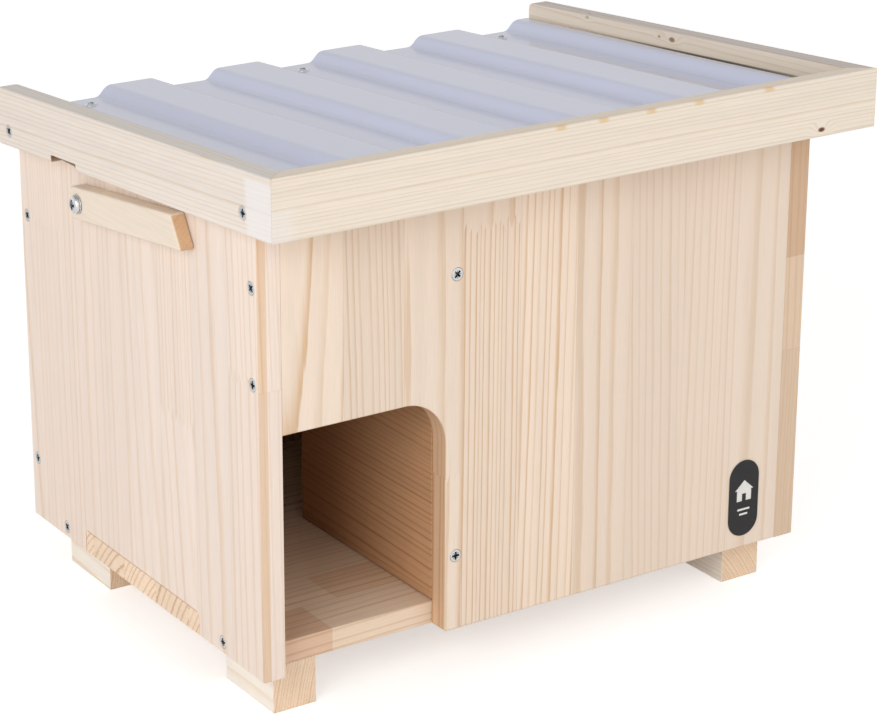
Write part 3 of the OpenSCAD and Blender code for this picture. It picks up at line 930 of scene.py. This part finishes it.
CROSS_WALL = {"shares": {1: FLUSH, 3: FLUSH}, "warp": follow_wall_top}


def front_wall():
    low, high = front_low, front_high
    edge = partition_low.x

    def over_entrance(co):
        return 0.8 * low.x < co.x < edge + 0.1 * MM and co.z < 0.7 * high.z

    top = part_box("front_panel", over_entrance)[1].z
    straight_end = part_box("front_panel", lambda v: abs(v.z - top) < 0.1 * MM and v.x < edge)[1].x
    radius = edge - straight_end
    outline = [(edge, low.z), (high.x, low.z), (high.x, high.z), (low.x, high.z), (low.x, top)]
    outline += arc((edge - radius, top - radius), radius, 90, 0, 14)
    board("front_board", "front_panel", "box", FRONT_PINE, outline, "y", ["front_panel_screws"], **CROSS_WALL)


def rectangle(low, high, u, v):
    """The outline of a box seen along the axis that is neither u nor v."""
    return [(low[u], low[v]), (high[u], low[v]), (high[u], high[v]), (low[u], high[v])]


def back_wall():
    outline = rectangle(back_low, back_high, 0, 2)
    board("back_board", "back_panel", "box", FRONT_PINE, outline, "y", **CROSS_WALL)


def floor_board():
    low, high = floor_low, floor_high
    front, rear = tongue_low.y, tongue_high.y
    inner_low, inner_high = part_box("floor_panel", lambda v: left_high.x - MM < v.x < right_low.x + MM)
    outline = [(inner_low.x, inner_low.y), (inner_high.x, inner_low.y)]
    outline += [(inner_high.x, front), (high.x, front), (high.x, rear), (inner_high.x, rear)]
    outline += [(inner_high.x, inner_high.y), (inner_low.x, inner_high.y)]
    outline += [(inner_low.x, rear), (low.x, rear), (low.x, front), (inner_low.x, front)]
    board("floor_board", "floor_panel", "box", FLOOR_PINE, outline, "z", ease=0.8 * MM)


def partition_board():
    outline = rectangle(*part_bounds("partition_wall"), 1, 2)
    board("partition_board", "partition_wall", "box", PARTITION_PINE_SHADED, outline, "x")


# ---------------- feet

def screw_wells(block, low, high):
    """Cuts the deep wells of the screws under a foot into its block."""
    mouth_r = HEAD_R + 0.4 * MM
    well_r = HEAD_R + 0.3 * MM
    profile = [(0, MM), (mouth_r, MM), (well_r, 0), (well_r, -4.4 * MM), (SHANK_R, -7 * MM), (0, -7.2 * MM)]
    places = []
    for point, outward in screw_heads["foot_screws"]:
        if low.x < point.x < high.x and low.y < point.y < high.y:
            places.append(stand(Vector((point.x, point.y, low.z)), outward))
    drill(block, profile, 24, places)


def feet():
    for place in ("front_left", "front_right", "rear_left", "rear_right"):
        low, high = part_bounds("foot_" + place)
        block = prism(rectangle(low, high, 0, 1), "z", (low.z, high.z), ease=0.9 * MM)
        screw_wells(block, low, high)
        dress(block, "foot_block_" + place, "box", FOOT_PINE, ["foot_" + place])


# ---------------- lid

LID_CORNER_R = 5 * MM
NOTCH_BEND = 3 * MM


def lid_side_outline(low, high, notch):
    """Outline of a lid side board, walked from its lower front corner, with rounded rear corners."""
    radius = LID_CORNER_R
    front = [(low.y, lid_line(low.y, LID_BOARD_H)), (low.y, lid_line(low.y, 0))]
    cut = []
    if notch:
        start, end = notch[0].y, notch[1].y
        bend_z = notch[1].z - NOTCH_BEND
        cut.append((start, lid_line(start, 0)))
        cut += arc((start + NOTCH_BEND, bend_z), NOTCH_BEND, 180, 90, 3)
        cut += arc((end - NOTCH_BEND, bend_z), NOTCH_BEND, 90, 0, 3)
        cut.append((end, lid_line(end, 0)))
    rear_low = arc((high.y - radius, lid_line(high.y, radius)), radius, 270, 360, 5)
    rear_high = arc((high.y - radius, lid_line(high.y, LID_BOARD_H - radius)), radius, 0, 90, 5)
    shares = {len(front) + i: TIGHT for i in range(len(cut) - 1)}
    return front + cut + rear_low + rear_high, {0: FLUSH, **shares}


def lid_side_board(name, node, inner_x, material, notch=None):
    low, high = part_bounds(node)
    outline, shares = lid_side_outline(low, high, notch)

    def mitre(co):
        if abs(co.x - inner_x) < 0.1 * MM and co.y < low.y + 0.1 * MM:
            co.y += FRAME_T
            co.z -= FRAME_T * SLOPE_TAN

    board(name, node, "lid", material, outline, "x", ["lid_frame_screws"], shares=shares, warp=mitre)


def fascia_board():
    low, high = fascia_low, fascia_high
    outline = [(low.y, lid_line(low.y, 0)), (high.y, lid_line(high.y, 0)),
               (high.y, lid_line(high.y, LID_BOARD_H)), (low.y, lid_line(low.y, LID_BOARD_H))]

    def mitre(co):
        if co.y > high.y - 0.1 * MM:
            co.x -= math.copysign(FRAME_T, co.x)

    board("fascia_board", "lid_fascia", "lid", FASCIA_PINE, outline, "x", ends=FLUSH, warp=mitre)


def batten(name, node):
    low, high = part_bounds(node)
    drop = (high.y - low.y) * SLOPE_TAN
    outline = [(low.y, low.z + drop), (high.y, low.z), (high.y, high.z - drop), (low.y, high.z)]
    board(name, node, "lid", BATTEN_PINE, outline, "x", ease=0.9 * MM)


# ---------------- roof sheet

FIRST_RIDGE = -163 * MM    # left edge of the first ridge's flat top
RIDGE_PITCH = 98 * MM
RIDGE_TOP = 41 * MM
RIDGE_H = 8.5 * MM
BEND_R = 3.8 * MM
BEND_STEPS = 6
SHEET_T = 1.4 * MM
SHEET_ROWS = 24
SHEET_SAG = 0.25 * MM      # how far the sheet waves up and down
SAG_TURNS = (30, 7)        # radians of that wave per metre across and over the sheet's whole length


def rounded(points, radius, steps):
    """A polyline with its inner corners replaced by curves."""
    done = [points[0]]
    for before, corner, after in zip(points, points[1:], points[2:]):
        into = (before - corner).normalized()
        out = (after - corner).normalized()
        for i in range(steps + 1):
            t = i / steps
            done.append(corner + into * radius * (1 - t) ** 2 + out * radius * t ** 2)
    return done + [points[-1]]


def sheet_profile(start, end):
    """The sheet's section from x = start to x = end, as x and height over its valleys."""
    slope_w = (RIDGE_PITCH - 2 * RIDGE_TOP) / 2
    corners = []
    x = FIRST_RIDGE - RIDGE_PITCH
    while x < end + RIDGE_PITCH:
        right = x + RIDGE_TOP
        corners += [(x - slope_w, 0), (x, RIDGE_H), (right, RIDGE_H), (right + slope_w, 0)]
        x += RIDGE_PITCH
    line = rounded([Vector(p) for p in corners], BEND_R, BEND_STEPS)
    clipped = []
    for a, b in zip(line, line[1:]):
        for cut in (start, end):
            if a.x < cut < b.x:
                clipped.append(a.lerp(b, (cut - a.x) / (b.x - a.x)))
        if start < b.x < end:
            clipped.append(b)
    return clipped


def sheet_surface(low, high):
    """The sheet's lower face: ridges that run with the slope, its right edge cut askew."""
    near_end = 5 * MM
    rear_low = part_box("roof_sheet", lambda v: v.y > high.y - near_end)[0]
    front_high = part_box("roof_sheet", lambda v: v.y < low.y + near_end)[1]
    taper = high.x - front_high.x
    start_y = high.y - 0.6 * MM
    length = start_y - low.y
    line = sheet_profile(low.x, high.x)
    bm = bmesh.new()
    rows = []
    for i in range(SHEET_ROWS + 1):
        share = i / SHEET_ROWS
        y = start_y - share * length
        row = []
        for p in line:
            x = min(p.x, high.x - taper * share)
            sag = SHEET_SAG * math.sin(SAG_TURNS[0] * p.x + SAG_TURNS[1] * share)
            row.append(bm.verts.new((x, y, rear_low.z + share * length * SLOPE_TAN + p.y + sag)))
        rows.append(row)
    for a, b in zip(rows, rows[1:]):
        for i in range(len(line) - 1):
            bm.faces.new((a[i], a[i + 1], b[i + 1], b[i]))
    bmesh.ops.recalc_face_normals(bm, faces=bm.faces)
    return bm


def roof_sheet():
    sheet = link("sheet", sheet_surface(*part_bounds("roof_sheet")))
    if sheet.data.polygons[0].normal.z < 0:
        sheet.data.flip_normals()
    solid = sheet.modifiers.new("thickness", "SOLIDIFY")
    solid.thickness = SHEET_T
    solid.offset = 1.0
    soften(sheet, 0.25 * MM, 60)
    bake_modifiers(sheet)
    dress(sheet, "corrugated_sheet", "lid", SHEET_PLASTIC, ["roof_sheet"], sharp=0.9)


PAN_HEAD_H = 2.2 * MM


def pan_screw(head_r):
    """A pan-head screw along -z that stands on z = 0."""
    profile = [(head_r * u, PAN_HEAD_H * v) for u, v in arc((0, 0), 1, 90, 20, 6)]
    profile[0] = (0, PAN_HEAD_H)
    profile += [(head_r, 0.0), (SHANK_R, 0.0), (SHANK_R, -10 * MM), (0, -14 * MM)]
    obj = link("sheet_screw", lathe(profile))
    cut_recess(obj, 1.3 * head_r, 0.6 * head_r, PAN_HEAD_H)
    return take_mesh(obj)


def sheet_screws():
    """The screws in the sheet's valleys, square to its slope."""
    boxes = islands("sheet_screws")
    head_r = (boxes[0][1].x - boxes[0][0].x) / 2
    places = []
    for low, high in boxes:
        lean = 0.5 * (high.z - low.z) * math.sin(SLOPE)
        seat = Vector(((low.x + high.x) / 2, (low.y + high.y) / 2 + lean, high.z))
        seat.z -= PAN_HEAD_H + head_r * math.sin(SLOPE)
        places.append(Matrix.Translation(seat) @ Matrix.Rotation(-SLOPE, 4, "X"))
    made = copies("sheet_screws", pan_screw(head_r), places)
    dress(made, "roofing_screws", "lid", SCREW_STEEL, ["sheet_screws"], sharp=SCREW_SHARP)


# ---------------- prop

PROP_LEAN = math.radians(6.4)
PROP_SLANT = math.radians(24)
PROP_END_R = 5 * MM
pivot = Vector(next(joint["pos_m"] for joint in frame["joints"] if joint["name"] == "prop_swing"))


def roof_prop():
    """A stick on the pivot with a square rear end and a slanted tip, leaning up towards the front."""
    low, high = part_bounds("roof_prop")
    c, s = math.cos(PROP_LEAN), math.sin(PROP_LEAN)
    corner = (high.y - pivot.y - PROP_END_R) / (c + s)
    half = corner + PROP_END_R
    length = (pivot.y - low.y - half * s) / c
    short = length - 2 * half * math.tan(PROP_SLANT)
    flat = arc((corner, -corner), PROP_END_R, -90, 0, 5) + arc((corner, corner), PROP_END_R, 0, 90, 5)
    flat += [(-short, half), (-length, -half)]
    outline = [(pivot.y + u * c + v * s, pivot.z - u * s + v * c) for u, v in flat]
    stick = prism(outline, "x", (low.x, high.x), ease=1.8 * MM)
    dress(stick, "prop_stick", "prop", PROP_PINE, ["roof_prop"])


def on_pivot(x):
    """Stands a screw or washer on the pivot's axis at x, looking away from the box."""
    return stand(Vector((x, pivot.y, pivot.z)), (-1, 0, 0))


def pivot_washer():
    low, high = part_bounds("prop_washer")
    outer = (high.y - low.y) / 2
    thick = high.x - low.x
    bore = 2.6 * MM
    shoulder = outer - 0.3 * MM
    bend = 0.25 * MM
    ring = mirrored([(bore, 0), (shoulder, 0), (outer, bend)], thick)
    bm = lathe(ring + [(bore, 0)])
    bmesh.ops.remove_doubles(bm, verts=bm.verts, dist=WELD_DISTANCE)
    bmesh.ops.recalc_face_normals(bm, faces=bm.faces)
    washer = link("washer", bm)
    washer.data.transform(on_pivot(high.x))
    dress(washer, "pivot_washer", "box", SCREW_STEEL, ["prop_washer"], sharp=SCREW_SHARP)


def pivot_screw():
    low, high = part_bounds("prop_pivot_screw")
    seat_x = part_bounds("prop_washer")[0].x
    head_r = (high.y - low.y) / 2
    head_h = seat_x - low.x
    shaft_r = 2.4 * MM
    profile = [(0, head_h)]
    for u, v in arc((0, 0), 1, 80, 0, 8):
        profile.append((head_r * u, head_h * (0.35 + 0.65 * v)))
    profile += [(head_r, 0.1 * MM), (head_r - 0.2 * MM, 0)]
    profile += [(shaft_r, 0), (shaft_r, -26 * MM), (0, -30 * MM)]
    screw = link("pivot", lathe(profile))
    cut_recess(screw, 8.8 * MM, 3.4 * MM, head_h)
    screw.data.transform(on_pivot(seat_x))
    dress(screw, "pivot_screw", "box", SCREW_STEEL, ["prop_pivot_screw"], sharp=SCREW_SHARP)


# ---------------- hinges

def hinge_leaves():
    """The CAD leaves stay as they are, with softened edges and a steel finish."""
    for place in ("left_box", "right_box", "left_lid", "right_lid"):
        obj = frame["nodes"]["hinge_" + place + "_leaf"]
        weld = obj.modifiers.new("weld", "WELD")
        weld.merge_threshold = WELD_DISTANCE
        soften(obj, 0.25 * MM, 50)
        obj.modifiers.new("normals", "WEIGHTED_NORMAL")
        obj.data.materials.clear()
        obj.data.materials.append(HINGE_STEEL)


def hinge_pins():
    """Round pins with slightly domed ends."""
    for node in ("hinge_left_pin", "hinge_right_pin"):
        low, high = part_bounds(node)
        radius = (high.z - low.z) / 2
        middle = (low + high) / 2
        profile = mirrored([(0, 0), (0.6 * radius, 0.05 * MM), (radius, 0.5 * MM)], high.x - low.x)
        pin = link("pin", lathe(profile, 24))
        pin.data.transform(stand(Vector((low.x, middle.y, middle.z)), (1, 0, 0)))
        dress(pin, node.replace("hinge", "turned"), "box", HINGE_STEEL, [node], sharp=0.7)


def hinge_screws():
    small = screw_mesh(12 * MM, 3 * MM, 1.5 * MM)
    for node, body in (("hinge_box_screws", "box"), ("hinge_lid_screws", "lid")):
        made = copies(node, small, [stand(*head) for head in find_heads(node, 1, HIGH)])
        dress(made, "countersunk_" + node, body, SCREW_STEEL, [node], sharp=SCREW_SHARP)


# ---------------- label

# The label's generic marks in millimetres from its middle: a house with a door, and two bars under it.
HOUSE = [(-7, -2), (-2, -2), (-2, 4), (2, 4), (2, -2), (7, -2), (7, 7), (9, 7), (0, 15), (-9, 7), (-7, 7)]
BARS = [[(-w, z), (w, z), (w, z + 1.6), (-w, z + 1.6)] for w, z in ((6, -10), (4, -14))]


def label():
    """A pill-shaped plate with a plain raised house sign and two bars."""
    low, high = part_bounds("label_plate")
    middle = (low + high) / 2
    radius = (high.x - low.x) / 2
    outline = arc((middle.x, high.z - radius), radius, 0, 180, 20)
    outline += arc((middle.x, low.z + radius), radius, 180, 360, 20)
    plate = prism(outline, "y", (low.y, high.y), ease=0.3 * MM)
    dress(plate, "label_pill", "box", LABEL_BLACK, ["label_plate"])
    raised = (low.y - 0.15 * MM, low.y + 0.3 * MM)
    for number, mark in enumerate([HOUSE] + BARS):
        points = [(middle.x + x * MM, middle.z + z * MM) for x, z in mark]
        sign = prism(points, "y", raised, ease=0.08 * MM)
        dress(sign, f"label_sign_{number + 1}", "box", LABEL_WHITE)


# ---------------- build everything

side_wall("side_board_left", "side_panel_left", SIDE_PINE)
side_wall("side_board_right", "side_panel_right", RIGHT_PINE)
front_wall()
back_wall()
floor_board()
partition_board()
feet()
lid_side_board("lid_board_left", "lid_side_left", lid_left_high.x, LID_LEFT_PINE, prop_notch)
lid_side_board("lid_board_right", "lid_side_right", lid_right_low.x, LID_RIGHT_PINE)
fascia_board()
batten("batten_front", "lid_front_batten")
batten("batten_rear", "lid_rear_batten")
roof_sheet()
sheet_screws()
roof_prop()
pivot_washer()
pivot_screw()
hinge_leaves()
hinge_pins()
hinge_screws()
label()


# ---------------- stage, light and camera

FLOOR_GLOW = 0.47          # lifts the floor to white for the camera only


def stage_floor():
    bm = bmesh.new()
    bmesh.ops.create_grid(bm, x_segments=2, y_segments=2, size=30.0)
    floor = link("studio_floor", bm)
    material, g, coords = new_material("studio_floor")
    place = coords["Object"]
    cloud = g.noise(place, 1.5, 2.0)
    level = g.ramp(cloud, 0.02, 0.90)
    seen = g.node("ShaderNodeLightPath").outputs["Is Camera Ray"]
    glow = g.times(seen, FLOOR_GLOW)
    finish_material(g, g.grey(level), 0.8, cloud, 0.01 * MM,
                    Emission_Color=(1.0, 1.0, 1.0, 1.0), Emission_Strength=glow)
    floor.data.materials.append(material)


def world_light(overhead, horizon):
    """White surroundings, dimmer overhead than at the horizon."""
    world = bpy.data.worlds.new("studio")
    bpy.context.scene.world = world
    world.use_nodes = True
    g = Graph(world.node_tree)
    world.node_tree.nodes.clear()
    up = g.split(g.node("ShaderNodeTexCoord").outputs["Generated"])[2]
    level = g.step(up, 0.0, 0.9, horizon, overhead)
    background = g.node("ShaderNodeBackground", {"Color": (1.0, 0.99, 0.98, 1.0), "Strength": level})
    out = g.node("ShaderNodeOutputWorld")
    g.feed(out.inputs["Surface"], background.outputs[0])


def area_light(name, place, target, size, power, color=(1.0, 1.0, 1.0)):
    data = bpy.data.lights.new(name, "AREA")
    data.shape = "SQUARE"
    data.size = size
    data.energy = power
    data.color = color
    show(name, data).matrix_world = stand(place, Vector(place) - target)


# Angles in degrees, distances in metres. The camera looks at a point on the front wall's face.
CAMERA = {
    "azimuth": -30.98, "elevation": 18.42, "roll": -0.806, "distance": 1.86136,
    "aim_x": -0.22231, "aim_z": 0.33637, "lens": 113.7, "shift_x": 0.1781, "shift_y": -0.0946,
}


def camera():
    data = bpy.data.cameras.new("photo_view")
    data.sensor_width = 36.0
    data.lens = CAMERA["lens"]
    data.shift_x = CAMERA["shift_x"]
    data.shift_y = CAMERA["shift_y"]
    data.clip_start = 0.05
    data.clip_end = 100.0
    turn = Matrix.Rotation(math.radians(CAMERA["azimuth"]), 4, "Z")
    turn @= Matrix.Rotation(math.radians(90 - CAMERA["elevation"]), 4, "X")
    turn @= Matrix.Rotation(math.radians(CAMERA["roll"]), 4, "Z")
    aim = Vector((CAMERA["aim_x"], front_low.y, CAMERA["aim_z"]))
    eye = show("photo_view", data)
    eye.matrix_world = Matrix.Translation(aim) @ turn @ Matrix.Translation((0, 0, CAMERA["distance"]))
    bpy.context.scene.camera = eye


stage_floor()
world_light(0.46, 0.84)
centre = (cad_bounds[0] + cad_bounds[1]) / 2
area_light("key", (-2.6, -1.6, 1.5), centre, 1.8, 38.0)
area_light("fill", (1.2, -2.6, 1.2), centre, 2.0, 12.0)
camera()
bpy.context.scene.view_settings.view_transform = "Standard"
